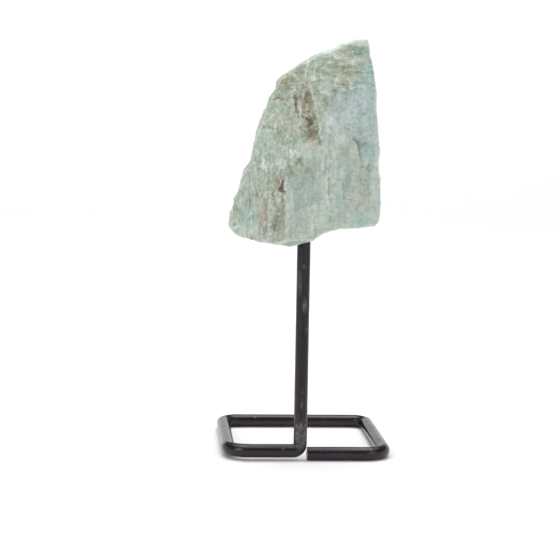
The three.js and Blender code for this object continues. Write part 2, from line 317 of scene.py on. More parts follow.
class Tree:
    """A node tree that nodes are added to by type, settings and sockets."""

    def __init__(self, tree):
        self.tree = tree

    def add(self, kind, settings=None, sockets=None, out=0):
        """Adds a node, sets it, fills its sockets, and gives back one of its outputs."""
        node = self.tree.nodes.new(kind)
        for name, setting in (settings or {}).items():
            setattr(node, name, setting)
        self.fill(node, sockets or {})
        return Value(self, node.outputs[out]) if node.outputs else None

    def fill(self, node, sockets):
        """Links or sets a node's sockets."""
        for name, value in sockets.items():
            if isinstance(value, Value):
                self.tree.links.new(value.socket, node.inputs[name])
            else:
                node.inputs[name].default_value = value

    def vector(self, operation, *values, out=0):
        """A Vector Math node. Its second output is the number that LENGTH and its like give."""
        return self.add("ShaderNodeVectorMath", {"operation": operation}, dict(enumerate(values)), out)

    def scaled(self, place, size, offset=(0, 0, 0), stretch=(1, 1, 1)):
        """A place counted in clouds or cells of a size. Only materials know the Mapping node."""
        scale = [1 / (size * axis) for axis in stretch]
        if self.tree.type == "SHADER":
            sockets = {"Vector": place, "Location": offset, "Scale": scale}
            return self.add("ShaderNodeMapping", None, sockets)
        return self.vector("MULTIPLY_ADD", place, scale, offset)

    def noise(self, place, size, detail=4, rough=0.55, offset=(0, 0, 0), stretch=(1, 1, 1)):
        """Cloudy noise from 0 to 1. size is one cloud in millimetres, and stretch draws it out."""
        spot = self.scaled(place, size, offset, stretch)
        sockets = {"Vector": spot, "Scale": 1, "Detail": detail, "Roughness": rough}
        return self.add("ShaderNodeTexNoise", None, sockets)

    def cells(self, place, size, metric="EUCLIDEAN", stretch=(1, 1, 1), out="Distance", feature="F1"):
        """Voronoi cells: how far the nearest one's middle is, or its own random colour."""
        spot = self.scaled(place, size, stretch=stretch)
        settings = {"distance": metric, "feature": feature}
        return self.add("ShaderNodeTexVoronoi", settings, {"Vector": spot, "Scale": 1}, out)

    def shifted(self, place, by, amount):
        """A place pushed about by noise, in millimetres."""
        both_ways = self.vector("SUBTRACT", by, NOISE_MIDDLE)
        return self.vector("MULTIPLY_ADD", both_ways, (amount, amount, amount), place)

    def store(self, mesh, name, value):
        """Writes a number down at every point of a mesh."""
        sockets = {"Geometry": mesh, "Name": name, "Value": value}
        return self.add("GeometryNodeStoreNamedAttribute", None, sockets)

    def axes(self, place):
        """The three coordinates of a place."""
        node = self.add("ShaderNodeSeparateXYZ", None, {0: place})
        return [Value(self, output) for output in node.socket.node.outputs]


def random_shift(tree, place, size):
    """Noise as a vector, to push places about with."""
    colour = tree.noise(place, size, detail=2)
    return Value(tree, colour.socket.node.outputs["Color"])


print("helpers:", Value.__name__, Tree.__name__)

# %% [markdown]
# ## The stone's body
#
# A broken stone has coarse breaks, ledges and clefts, and over them a fine relief that differs from
# face to face. The coarse shape is the frame's own solid. Its triangles are too large to carry fine
# relief, so a copy is joined up, rebuilt on a fine even grid by the Remesh modifier and eased a
# little with Smooth, which takes the grid's staircase away. Sculpting by hand would do the same
# work, but it couldn't be read or repeated.

# %% Copy the stone and give it a fine, even mesh


def apply_modifier(piece, kind, **settings):
    """Adds a modifier, sets it and applies it."""
    pick(piece)
    bpy.ops.object.modifier_add(type=kind)
    modifier = piece.modifiers[-1]
    for key, value in settings.items():
        setattr(modifier, key, value)
    bpy.ops.object.modifier_apply(modifier=modifier.name)


GRID = 0.34 * MM

pick(frame["nodes"]["amazonite_stone"])
bpy.ops.object.duplicate()
stone = bpy.context.object
stone.name = "amazonite"
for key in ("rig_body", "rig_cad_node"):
    del stone[key]
bpy.ops.object.parent_clear(type="CLEAR_KEEP_TRANSFORM")
bpy.ops.object.mode_set(mode="EDIT")
bpy.ops.mesh.select_all(action="SELECT")
bpy.ops.mesh.remove_doubles(threshold=GRID / 1000)
bpy.ops.object.mode_set(mode="OBJECT")
apply_modifier(stone, "REMESH", mode="VOXEL", voxel_size=GRID)
apply_modifier(stone, "SMOOTH", factor=0.5, iterations=3)

print("stone faces:", len(stone.data.polygons))

# %% [markdown]
# ## The stone's relief
#
# Four things shape a break in this feldspar, and each is one term of a height in millimetres:
#
# - swell: slow waves over the whole stone;
# - shake: on the left face the break runs across the grain, so it is rough, with upright ribs low down;
# - steps: the mineral parts along flat planes at right angles, so the other faces drop in flat blocks,
#   and near the top in short ledges: cells measured along the axes, each at its own height;
# - grain: fine crumbs and pits everywhere, strongest where the face is shaken.
#
# Where each of them acts comes first.

# %% Where the stone is shaken and where it is smooth
RIDGE_FOOT = (70, -10)  # height above the table and x of the ridge between the two front faces
RIDGE_HEAD = (106, -5.2)
CLEFT = ((-3, -25, 110.5), (4.6, 5, 10.5))  # middle and reach, beside the ridge
CROWN = ((0, -22, 125.5), (13, 10, 6.5))
LOW_DOWN = (106, 94)  # heights between which the upright ribs set in
HIGH_UP = (113, 121)  # heights between which the flat steps turn into short ledges
BEHIND = (-12, -6)  # y between which the front's breaks give way to the back's
RIDGE_BLEND = 1.2  # how far on either side of the ridge the two faces run into each other
EGG_RIM = (1.2, 0.5)  # in reaches: where an egg-shaped region ends, and where it is at its full


def blob(tree, place, centre, reach):
    """1 in the middle of an egg-shaped region, falling to 0 round its reach along each axis."""
    gap = tree.vector("SUBTRACT", place, centre)
    in_reaches = tree.vector("MULTIPLY", gap, [1 / axis for axis in reach])
    return tree.vector("LENGTH", in_reaches, out=1).rise(*EGG_RIM)


def left_of_ridge(x, z):
    """1 on the left front face and round to the back, 0 right of the ridge."""
    ridge = z.rise(RIDGE_FOOT[0], RIDGE_HEAD[0], RIDGE_FOOT[1], RIDGE_HEAD[1])
    return (ridge - x).rise(-RIDGE_BLEND, RIDGE_BLEND)


def shaken(tree, place, x, y, z):
    """How rough the break is: the left face, the cleft, the crown, and patches on the back."""
    patches = tree.noise(place, 15, detail=2, offset=(4, 0, 0)).rise(0.45, 0.6)
    behind = y.rise(*BEHIND)
    front = left_of_ridge(x, z) | blob(tree, place, *CLEFT)
    return front | (0.8 * blob(tree, place, *CROWN)) | (patches & behind)


print("ridge from", RIDGE_FOOT, "to", RIDGE_HEAD)

# %% [markdown]
# Noise never puts a crack where this stone has one. The lines and pits that stand out on its front
# are drawn one by one instead: each is a short chain of points, in millimetres, as seen from the front.
# Near the chain the face is carved, or raised where the depth is negative. How strongly each kind of
# line shows is stored on the mesh, for the colour to make it dark, deep green, rusty or pale. The dark
# lines and pits are painted shade in the cracks they carve, the deep green lines mostly painted shade
# under ledges and beside steps, the rusty ones stains with some painted shade, and the pale ones partly
# albite threads and partly painted highlight on ridges and ledge tops.

# %% Lines and pits drawn one by one
# Painted light in this table: dark lines and pits are painted shade, deep green lines mostly painted
# shade under ledges and beside steps, and pale lines partly painted highlight.
MARKS = [  # what it looks like, how strongly, half its width, its depth, and its points: x, z
    ("dark", 0.6, 0.22, 0.1, (-6.9, 118), (-6.7, 116.3), (-6.4, 114.6)),
    ("dark", 0.6, 0.26, 0.35, (-6.4, 114.6), (-5.9, 112.4), (-5.3, 110)),
    ("rust", 0.4, 0.5, 0.2, (-3.3, 118), (-2.8, 114.5), (-2.1, 111.9), (-1.8, 108.5), (-0.8, 106)),
    ("rust", 0.6, 0.3, 0.3, (-3.6, 118.1), (-2.8, 117.9), (-2.7, 117.2), (-3.3, 117)),
    ("dark", 0.6, 0.3, 0.5, (-2.3, 112.3), (-2, 111.8)),
    ("dark", 0.5, 0.3, 0.4, (-4.3, 111.1), (-3.8, 110.5)),
    ("dark", 0.95, 0.38, 0.5, (-2.4, 110.1), (-1.5, 109.6), (-1.3, 108.5), (-1.9, 108.1)),
    ("dark", 0.9, 0.5, 0.5, (-1.1, 105.9), (-0.8, 105.6)),
    ("rust", 0.6, 0.4, 0.3, (-1.5, 104.6), (-0.5, 104.2)),
    ("dark", 0.5, 0.35, 0.3, (1.2, 104), (1.5, 102.6)),
    ("dark", 0.3, 0.4, 0.2, (0.1, 101.4), (0.3, 100.6)),
    ("dark", 0.3, 0.4, 0.2, (2, 100.4), (2.6, 98.9)),
    ("pale", 0.5, 0.35, -0.15, (-5.6, 115.5), (-4.9, 111.5)),
    ("pale", 0.4, 0.4, -0.15, (-1.8, 119.7), (-0.5, 116), (0.6, 112), (1.2, 108), (1.9, 103.5)),
    ("pale", 0.35, 0.4, -0.1, (-2.9, 128.2), (-3.4, 125.5), (-3.9, 122)),
    # The arch's pale rim and the short pale streaks on the crown are painted highlight on ledge tops;
    # the rusty and deep green lines just under them are painted shadow.
    ("pale", 0.75, 0.36, -0.05, (5.7, 120), (6.4, 122.7), (9.1, 123.4), (10.9, 122.2), (11, 119.4)),
    ("rust", 0.2, 0.3, 0, (8.4, 122.6), (8.5, 120.2)),
    ("pale", 0.4, 0.28, -0.1, (3, 128), (5.2, 127.8)),
    ("pale", 0.7, 0.4, -0.15, (1.4, 125.8), (3.6, 125.6)),
    ("pale", 0.85, 0.42, -0.15, (1.6, 118.6), (3.2, 118.4)),
    ("pale", 0.85, 0.42, -0.15, (5.6, 129.4), (7.8, 129.6)),
    ("pale", 0.85, 0.4, -0.15, (6.8, 127.5), (9, 127.3)),
    ("pale", 0.75, 0.4, -0.15, (9.4, 128), (11.6, 128.3)),
    ("pale", 0.9, 0.5, -0.15, (-1.6, 122.9), (-0.5, 122.4)),
    ("pale", 0.55, 0.38, -0.1, (1.4, 122.9), (2.8, 122.8)),
    ("rust", 0.4, 0.4, 0.25, (5.8, 128.7), (8.2, 128.5)),
    ("rust", 0.4, 0.4, 0.25, (-0.3, 125.2), (0.9, 124.8)),
    ("deep", 0.45, 0.4, 0.25, (1.4, 124.7), (3.8, 124.4)),
    ("deep", 0.45, 0.4, 0.25, (7, 131.7), (11.4, 131.9)),
    ("deep", 0.5, 0.5, 0.25, (6.5, 126.6), (8.3, 126.3)),
    ("deep", 0.4, 0.5, 0.1, (5.3, 119.4), (6.6, 119.2)),
    ("pale", 0.4, 0.35, 0, (4.9, 97.3), (5.3, 92.3), (3.9, 92.3)),
    ("pale", 0.6, 0.45, -0.1, (3.8, 92.2), (3.9, 86), (5, 82.2)),
    ("dark", 0.2, 0.6, 0.1, (5, 92), (5.2, 87)),
    ("deep", 0.35, 0.25, 0.2, (9.5, 94.5), (9.3, 90)),
    ("dark", 0.6, 0.32, 0.3, (9.3, 90), (9.2, 88.4), (9.5, 85.2)),
    ("deep", 0.3, 0.3, 0.1, (9.8, 84.8), (12, 85.1), (13, 84.2)),
    ("deep", 0.35, 0.45, 0.2, (14.4, 92), (15.3, 90)),
    ("dark", 0.5, 0.35, 0.2, (15, 95.4), (15.4, 95)),
    ("deep", 0.35, 0.22, 0.15, (11.8, 109.6), (11.9, 105.6)),
    ("deep", 0.6, 0.3, 0.2, (11.9, 105.6), (12.1, 104.1)),
    ("deep", 0.65, 0.45, 0.4, (12.1, 104), (13, 103.5), (14, 103.1), (14.2, 101.8)),
    ("dark", 0.4, 0.35, 0.2, (13.5, 103.3), (14, 102.9)),
    ("deep", 0.35, 0.35, 0.2, (14.1, 100.9), (14.8, 98)),
    ("deep", 0.5, 0.5, 0.15, (16.8, 95), (18.4, 95.5)),
    ("deep", 0.35, 0.4, 0.1, (15.3, 111.9), (17.2, 111.7)),
    ("deep", 0.45, 0.3, 0.2, (12.3, 113.9), (14.2, 114.5)),
    ("deep", 0.3, 0.3, 0.2, (6.5, 119.2), (9.5, 118.6)),
    ("rust", 0.8, 0.35, 0.3, (-9.6, 91.4), (-9.8, 90.2), (-10.4, 88.4)),
    ("rust", 0.5, 0.35, 0.1, (-10.4, 88.4), (-11.3, 87.2), (-10.2, 87)),
    ("pale", 0.4, 0.4, -0.7, (-13, 116.4), (-11.8, 117)),
    ("pale", 0.3, 0.45, -0.7, (-9, 89.8), (-9.1, 87.4)),
    ("dark", 0.35, 0.45, 0.3, (-6.3, 98.2), (-5, 96.9), (-3.9, 95.4)),
    ("dark", 0.3, 0.5, 0.2, (-7.9, 95), (-7.2, 93.3), (-5.8, 92.3)),
    ("pale", 0.4, 0.35, -0.1, (-8.9, 85.5), (-8.8, 81), (-9, 76.4)),
    ("pale", 0.45, 0.3, -0.1, (2, 103), (2.6, 98.4), (2.4, 94.2)),
    ("pale", 0.4, 0.3, -0.1, (6.2, 99.6), (6.4, 95), (6.2, 92.8)),
    ("deep", 0.3, 0.3, 0.2, (3.4, 99), (3.5, 94.6)),
    ("pale", 0.45, 0.26, -0.1, (13.2, 102), (13.6, 99.8), (14.9, 96.2)),
    ("dark", 0.5, 0.3, 0.4, (-12.3, 90.5), (-12.8, 85.1), (-12.6, 84.1)),
    ("rust", 0.5, 0.35, 0.2, (-13.1, 86), (-12.1, 83.8)),
    ("rust", 0.3, 0.5, 0.25, (-15.2, 84), (-14.3, 78), (-14.6, 72)),
    ("rust", 0.35, 0.5, 0.3, (-12.2, 83), (-11.5, 78), (-12.4, 73)),
    ("rust", 0.35, 0.35, 0.1, (-9.5, 84.3), (-9.3, 74.8)),
    ("dark", 0.35, 0.3, 0.3, (-19.8, 85.5), (-19.9, 81.4)),
    ("pale", 0.4, 0.3, -0.1, (-18.4, 85.3), (-18.3, 80.2)),
    ("pale", 0.6, 0.7, -0.3, (-15.6, 96), (-15, 95.1), (-14.3, 94.1)),
    ("rust", 0.35, 0.3, 0.1, (-14, 106.9), (-11.5, 106.6)),
    ("rust", 0.35, 0.25, 0.1, (-10.8, 106.4), (-9.9, 105.4), (-8.8, 106.3), (-7.6, 105.7)),
    ("rust", 0.35, 0.25, 0.1, (-10.2, 104.4), (-9, 104), (-7.4, 104.4)),
    ("rust", 0.3, 0.3, 0.1, (-9.4, 121), (-9, 118.6), (-7.8, 116.8)),
    ("rust", 0.3, 0.3, 0.1, (-5, 124.6), (-5.4, 121.6)),
]
MARK_KINDS = ("dark", "deep", "rust", "pale")
MARK_RIM = (1.5, 0.45)  # in half widths: where a line ends, and where it is at its full
IN_FRONT = (-12, -15)  # y between which the marks set in


def apart(tree, spot, start, end):
    """How far a place on the front is from a straight line between two points, in millimetres."""
    run = Vector((end[0] - start[0], 0, end[1] - start[1]))
    gone = tree.vector("SUBTRACT", spot, (start[0], 0, start[1]))
    along = tree.vector("DOT_PRODUCT", gone, run / run.length_squared, out=1)
    share = tree.add("ShaderNodeClamp", None, {0: along})
    gap = tree.vector("MULTIPLY_ADD", share, -run, gone)
    return tree.vector("LENGTH", gap, out=1)


def draw_marks(tree, place, y):
    """The depth that all marks together carve, and for each kind how strongly it shows."""
    bent = tree.shifted(place, random_shift(tree, place, 1.4), 0.9)
    frayed = tree.shifted(bent, random_shift(tree, place, 0.6), 0.4)
    spot = tree.vector("MULTIPLY", frayed, (1, 0, 1))
    broken = tree.noise(place, 1, detail=3, rough=0.65, offset=(1, 5, 9)).rise(0.38, 0.58)
    front = y.rise(*IN_FRONT) * (0.3 + 0.7 * broken)
    shown = {kind: 0.0 * y for kind in MARK_KINDS}
    carved = 0.0 * y
    for kind, strength, half, depth, *points in MARKS:
        gap = apart(tree, spot, points[0], points[1])
        for start, end in zip(points[1:], points[2:]):
            gap = gap & apart(tree, spot, start, end)
        line = front * gap.rise(MARK_RIM[0] * half, MARK_RIM[1] * half)
        shown[kind] = shown[kind] | (line * strength)
        carved = carved + line * depth
    return carved, shown


print("marks:", len(MARKS), "with", sum(len(mark) - 4 for mark in MARKS), "points")

# %% [markdown]
# Now the height is added up. A Displace modifier takes one texture, so geometry nodes are used: they
# move every point along its normal by the whole sum, and a little aside, so that breaks overhang.
# They also write down how far each point then lies under or over its surroundings, for the colour:
# hollows get brown staining with painted shade, and edges get a painted highlight, wherever the
# relief put them.

# %% The height as a sum of swell, shake, steps and grain
SWELL, LUMPS, RIBS, FINE_RIBS = 0.6, 0.9, 1.1, 0.4  # in millimetres, as all heights here
BLOCKS, LEDGES = 0.26, 0.45
CRUMBS, SHAKEN_CRUMBS = 0.2, 0.4  # everywhere, and how much more where the break is rough
PITS, SHAKEN_PITS = 0.12, 0.45
WANDER, SHAKEN_WANDER, CLEFT_WANDER = 0.4, 0.5, 0.4  # how far points move aside


def cleavage(tree, bent):
    """A random number from 0 to 1 for each of the flat blocks that the mineral parts into."""
    return tree.cells(bent, 3.4, "CHEBYCHEV", (1.3, 1.3, 1), "Color")


def stone_relief(tree, place):
    """How far points move out and how far aside, in millimetres, and what they store."""
    x, y, z = tree.axes(place)
    rough = shaken(tree, place, x, y, z)
    smooth = 1 - rough
    bent = tree.shifted(place, random_shift(tree, place, 5), 1.6)

    swell = SWELL * (tree.noise(place, 7, detail=2) - 0.5)
    ribs = tree.noise(bent, 1.3, detail=3, stretch=(1, 1, 6)) - 0.5
    fine_ribs = tree.noise(bent, 0.7, detail=2, stretch=(1, 1, 9), offset=(9, 0, 0)) - 0.5
    low_down = z.rise(*LOW_DOWN)
    lumps = tree.noise(bent, 2.4, detail=4, rough=0.65) - 0.5
    shake = rough * (RIBS * ribs * low_down + FINE_RIBS * fine_ribs * low_down + LUMPS * lumps)

    ledges = tree.cells(bent, 2.2, "CHEBYCHEV", (2.2, 2.2, 0.8), "Color")
    top = z.rise(*HIGH_UP)
    steps = smooth * (BLOCKS * (cleavage(tree, bent) - 0.5) + LEDGES * top * (ledges - 0.5))

    crumbs = tree.noise(place, 0.8, detail=3, rough=0.65) - 0.5
    pits = tree.noise(bent, 1.5, detail=3, offset=(3, 3, 0)).rise(0.6, 0.74)
    cleft = blob(tree, place, *CLEFT)
    crumbs = crumbs * (CRUMBS + SHAKEN_CRUMBS * rough + SHAKEN_CRUMBS * cleft)
    grain = crumbs - pits * (PITS + SHAKEN_PITS * rough)
    carved, shown = draw_marks(tree, place, y)
    height = swell + shake + steps + grain - carved
    return height, WANDER + SHAKEN_WANDER * rough + CLEFT_WANDER * cleft, shown


def relief_nodes(name, relief_of, blur=0):
    """A node group that moves a mesh's points, and stores what the colour needs at each of them."""
    group = bpy.data.node_groups.new(name, "GeometryNodeTree")
    for way in ("INPUT", "OUTPUT"):
        group.interface.new_socket("Geometry", in_out=way, socket_type="NodeSocketGeometry")
    tree = Tree(group)
    mesh = tree.add("NodeGroupInput")
    position = tree.add("GeometryNodeInputPosition")
    normal = tree.add("GeometryNodeInputNormal")
    place = tree.add("ShaderNodeVectorMath", {"operation": "SCALE"}, {0: position, 3: 1 / MM})
    height, wander, stored = relief_of(tree, place)
    ragged = tree.vector("SUBTRACT", random_shift(tree, place, 2.2), NOISE_MIDDLE)
    aside = tree.add("ShaderNodeVectorMath", {"operation": "SCALE"}, {0: ragged, 3: wander * MM})
    offset = tree.vector("MULTIPLY_ADD", normal, height * MM, aside)
    for attribute, value in stored.items():
        mesh = tree.store(mesh, attribute, value)
    mesh = tree.add("GeometryNodeSetPosition", None, {"Geometry": mesh, "Offset": offset})
    if blur:
        sockets = {"Value": position, "Iterations": blur}
        around = tree.add("GeometryNodeBlurAttribute", {"data_type": "FLOAT_VECTOR"}, sockets)
        away = tree.vector("SUBTRACT", around, position)
        under = tree.vector("DOT_PRODUCT", away, normal, out=1)
        mesh = tree.store(mesh, "hollow", under / MM)
    tree.add("NodeGroupOutput", None, {0: mesh})
    return group


BLUR_ROUNDS = 12

relief = relief_nodes("broken feldspar", stone_relief, BLUR_ROUNDS)
apply_modifier(stone, "NODES", node_group=relief)

hollow = [point.value for point in stone.data.attributes["hollow"].data]
print("hollow, in mm:", round(min(hollow), 2), "to", round(max(hollow), 2))

# %% [markdown]
# The rod needs relief too, but hardly any: thick paint is never quite even, and the pliers that
# pulled the tight elbow left dents on the upright just above it.

# %% Uneven paint and plier marks on the rod
PLIER_MARKS = [  # on the front of the upright, above the elbow, in millimetres: place and reach
    ((-3.5, -27, 10.3), 0.9),
    ((-2.3, -27.2, 9.6), 0.9),
    ((-1.2, -27, 10.5), 0.9),
    ((-3.1, -27.2, 7.6), 1.2),
    ((-1.2, -27.1, 7.2), 1.3),
]
PLIER_DEPTH = 0.16
PAINT_WAVES, PAINT_PEEL = 0.07, 0.012  # broad and fine unevenness
SHARP = math.radians(40)  # edges that are steeper stay sharp: the rim of the sawn end


def near(tree, place, centre, reach):
    """1 round a point, falling to 0 at its reach."""
    return tree.vector("DISTANCE", place, centre, out=1).rise(reach, reach * 0.3)


def rod_relief(tree, place):
    """The paint's unevenness and the plier marks, in millimetres, with nothing moved aside."""
    height = PAINT_WAVES * (tree.noise(place, 4.5, detail=2) - 0.5)
    height = height + PAINT_PEEL * (tree.noise(place, 1.2, detail=2) - 0.5)
    for centre, reach in PLIER_MARKS:
        height = height - PLIER_DEPTH * near(tree, place, centre, reach)
    return height, height * 0.0, {}


apply_modifier(rod, "NODES", node_group=relief_nodes("painted rod", rod_relief))
for piece in (stone, rod):
    pick(piece)
    bpy.ops.object.shade_smooth()
bpy.ops.object.shade_smooth_by_angle(angle=SHARP)

print("plier marks:", len(PLIER_MARKS))

# %% [markdown]
# ## The stone's colour
#
# Up close the colour is a stack of layers, and the material lays them down in the same order:
#
# - the feldspar: mint green to pale in flat blocks, and leaf green where the break is rough;
# - clouds, flecks and streaks, drawn out the way each face broke, whitish threads of albite that grew
#   through it, and thin darker seams;
# - stains and marks at places of their own: brown and olive where water ran, deepest in the cleft
#   beside the ridge, and whitish or bluish where the mineral is fresh, with painted shade in cracks,
#   pits and beside steps, and painted highlight on ridges, ledge tops and edges;
# - cracks, brown staining with painted shade in the hollows, and painted highlight on the edges;
# - grain: dark and white grit, which the bump follows too, so the dark grit is partly painted shade
#   in its low spots and the white grit partly painted glints on its high spots.
#
# The stone has five kinds of face, and a layer gives its share on each. Each stained or painted patch
# is a blotch with a middle and a reach along the three axes; a few blotches are painted shade or
# painted highlight. Its rim is frayed by pushing the place about with noise before the distance is
# taken.

# %% Colours of the feldspar and its stains
MINT = (0.37, 0.46, 0.40)
LEAF = (0.385, 0.455, 0.355)
PALE = (0.50, 0.55, 0.48)
TEAL = (0.29, 0.46, 0.41)
SKY = (0.33, 0.46, 0.475)
SLATE = (0.23, 0.30, 0.275)
SAGE = (0.29, 0.33, 0.21)
ALBITE = (0.70, 0.73, 0.69)
DEEP = (0.13, 0.22, 0.18)
OLIVE = (0.17, 0.18, 0.085)
BROWN = (0.20, 0.13, 0.065)
DARK = (0.07, 0.048, 0.026)
TAN = (0.48, 0.37, 0.25)
CREAM = (0.61, 0.59, 0.48)
ROSE = (0.48, 0.42, 0.37)
LILAC = (0.51, 0.54, 0.555)

LAYERS = [  # colour, cloud size, stretch, noise start and end, share: flat, top, shaken, ribbed, cleft
    (PALE, 8, (1, 1, 1), 0.44, 0.56, (0.8, 0.6, 0.9, 0.7, 0)),
    (TEAL, 5.5, (1, 1, 1.4), 0.49, 0.6, (0.45, 0.5, 0.4, 0.7, 0)),
    (SKY, 6, (1, 1, 1.4), 0.5, 0.6, (0.6, 0.3, 0.1, 0.4, 0)),
    (ROSE, 4, (1, 1, 2), 0.51, 0.6, (0.45, 0.15, 0.65, 0.5, 0.2)),
    (SLATE, 3, (1, 1, 3), 0.5, 0.57, (0.75, 0.4, 0.3, 0.3, 0.2)),
    (PALE, 2.4, (1, 1, 4), 0.5, 0.56, (0.85, 0.4, 0.6, 0.5, 0.1)),
    (SAGE, 2.8, (1, 1, 1), 0.5, 0.61, (0.25, 0.6, 0.75, 0.55, 0.7)),
    (TEAL, 2, (1, 1, 2.5), 0.52, 0.62, (0.35, 0.45, 0.4, 0.5, 0.2)),
    (SLATE, 1.6, (1, 1, 8), 0.52, 0.57, (0.35, 0, 0.1, 0.3, 0)),
    (PALE, 1.5, (1, 1, 9), 0.52, 0.57, (0.5, 0, 0.2, 0.4, 0)),
    (DEEP, 1.8, (1, 1, 4), 0.55, 0.65, (0.25, 0.1, 0.1, 0.2, 0)),
    (DEEP, 1.2, (4, 4, 1), 0.55, 0.65, (0.05, 0.5, 0.1, 0, 0)),
    (SLATE, 1.4, (1, 1, 2), 0.54, 0.64, (0.3, 0.4, 0.4, 0.5, 0.5)),
    (SLATE, 0.8, (6, 6, 1), 0.51, 0.58, (0.25, 0, 0, 0, 0)),
    (PALE, 0.9, (6, 6, 1), 0.52, 0.58, (0.3, 0, 0, 0, 0)),
    (OLIVE, 1, (3, 3, 1), 0.53, 0.63, (0.1, 0.6, 0.1, 0, 0.3)),
    (CREAM, 1, (3, 3, 1), 0.54, 0.64, (0.1, 0.65, 0.2, 0, 0.3)),
    (TEAL, 0.9, (1, 1, 9), 0.5, 0.6, (0.15, 0, 0, 0.5, 0)),
    (ROSE, 0.8, (1, 1, 8), 0.54, 0.64, (0.1, 0, 0.1, 0.6, 0)),
    (OLIVE, 0.8, (1, 1, 7), 0.56, 0.66, (0, 0, 0.1, 0.6, 0)),
    (ALBITE, 0.7, (1, 1, 7), 0.56, 0.66, (0.1, 0, 0.1, 0.55, 0)),
    (TAN, 1.6, (1.4, 1.4, 1), 0.56, 0.66, (0.1, 0.2, 0.3, 0.2, 0.8)),
    (CREAM, 1.3, (1, 1, 1), 0.55, 0.65, (0.12, 0.2, 0.4, 0.3, 0.7)),
    (ALBITE, 1.1, (1, 1, 1), 0.56, 0.66, (0.2, 0.5, 0.4, 0.5, 0.2)),
    (OLIVE, 0.9, (1, 1, 1), 0.56, 0.68, (0.12, 0.36, 0.42, 0.3, 0.8)),
]

